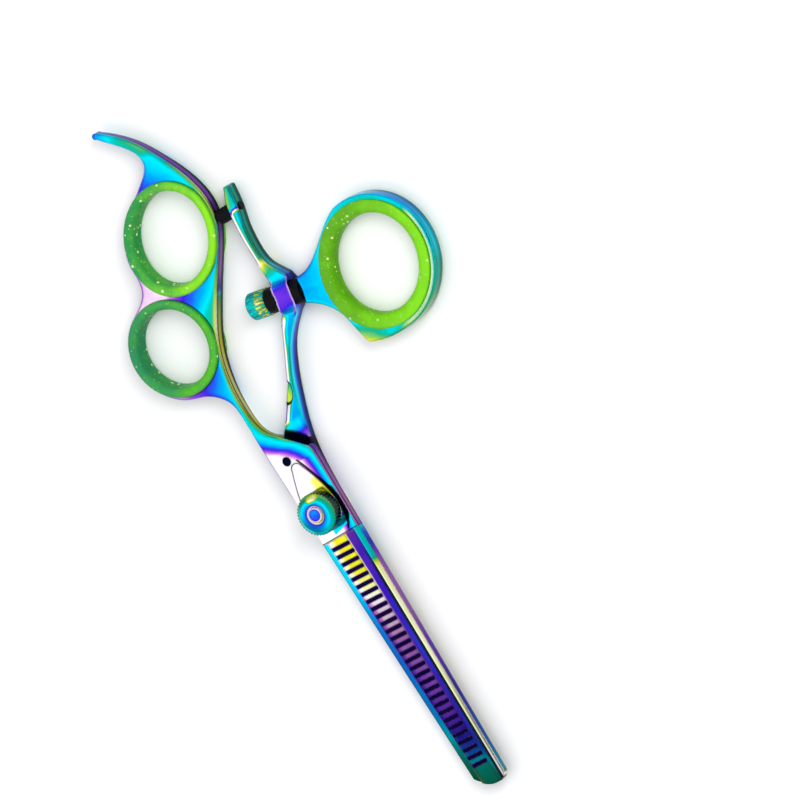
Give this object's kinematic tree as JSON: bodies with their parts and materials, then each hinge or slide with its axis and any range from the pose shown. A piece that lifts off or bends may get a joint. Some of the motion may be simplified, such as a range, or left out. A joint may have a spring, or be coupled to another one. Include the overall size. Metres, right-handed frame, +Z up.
{
  "type": "thinning shears",
  "caption": "Hairdressing thinning shears with a comb blade over a plain blade, a swivelling thumb ring, paired finger rings with soft inserts, a tang and a tension knob.",
  "frame": {"origin": "on the pivot axis, at the underside of the pivot screw's head, which is the plane the shears rest on", "axes": "+X along the closed blades towards their tips, +Y towards the thumb ring, +Z up along the pivot axis towards the tension knob"},
  "size_m": [0.1689, 0.0839, 0.0099],
  "materials": {
    "toothed_steel": "mirror-polished rainbow oxide",
    "plain_steel": "mirror-polished rainbow oxide",
    "thumb_steel": "mirror-polished rainbow oxide",
    "knob_steel": "mirror-polished rainbow oxide",
    "screw_steel": "polished rainbow oxide",
    "leaf_steel": "polished pale rainbow oxide",
    "bright_steel": "plain turned steel",
    "bearing_plastic": "black acetal",
    "thumb_soft": "translucent lime green with pale glitter",
    "large_soft": "translucent lime green with pale glitter",
    "small_soft": "translucent green with pale glitter",
    "black_rubber": "black rubber"
  },
  "bodies": {
    "toothed_body": {"toothed_half": "toothed_steel", "pivot_bush": "bright_steel", "tension_leaf": "leaf_steel", "leaf_pin": "screw_steel", "knob_washer": "bright_steel", "pivot_screw": "screw_steel", "ride_washer": "bearing_plastic", "finger_insert_large": "large_soft", "finger_insert_small": "small_soft"},
    "plain_body": {"plain_half": "plain_steel", "silencer": "black_rubber", "swivel_bush_ring_side": "bearing_plastic", "swivel_bush_screw_side": "bearing_plastic"},
    "knob_body": {"tension_knob": "knob_steel"},
    "thumb_ring_body": {"thumb_ring": "thumb_steel", "thumb_insert": "thumb_soft", "swivel_screw": "knob_steel"}
  },
  "joints": [
    {"name": "blade_pivot", "type": "hinge", "parent": "toothed_body", "child": "plain_body", "pos_m": [0, 0, 0.0032], "axis": [0, 0, -1], "range_deg": [0, 40]},
    {"name": "knob_turn", "type": "hinge", "parent": "toothed_body", "child": "knob_body", "pos_m": [0, 0, 0.0075], "axis": [0, 0, 1], "continuous": true},
    {"name": "thumb_swivel", "type": "hinge", "parent": "plain_body", "child": "thumb_ring_body", "pos_m": [-0.041, 0.0435, 0.00315], "axis": [0.163, 0.9866, 0], "continuous": true}
  ]
}
